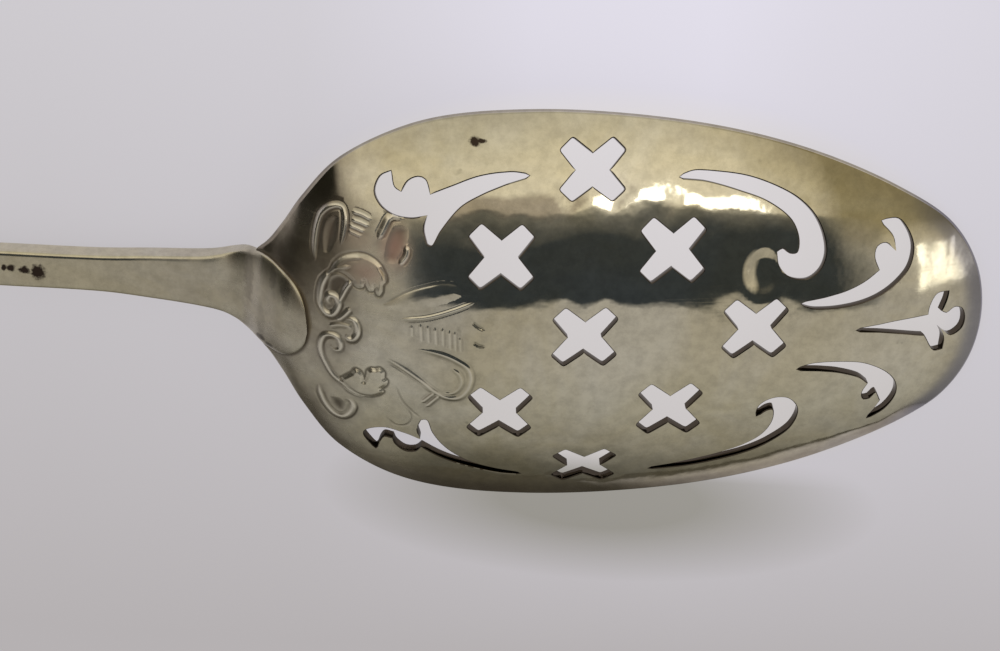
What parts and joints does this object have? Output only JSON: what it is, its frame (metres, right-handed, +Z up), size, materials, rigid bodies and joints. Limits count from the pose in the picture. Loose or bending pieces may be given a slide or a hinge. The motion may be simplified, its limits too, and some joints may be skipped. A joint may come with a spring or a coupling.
{
  "type": "mote spoon",
  "caption": "Small silver spoon with an egg-shaped bowl pierced with crosses and scrolls to strain tea, on a slender stem that ends in a lozenge spear.",
  "frame": {"origin": "on the floor, under the middle of the length, as the spoon lies face down", "axes": "+X along the spoon toward the bowl's tip, +Z up, out of the bowl's convex back"},
  "size_m": [0.1406, 0.0228, 0.0068],
  "materials": {
    "silver": "worn, softly polished silver with a warm tarnish"
  },
  "bodies": {
    "root": {"mote_spoon": "silver"}
  },
  "joints": []
}
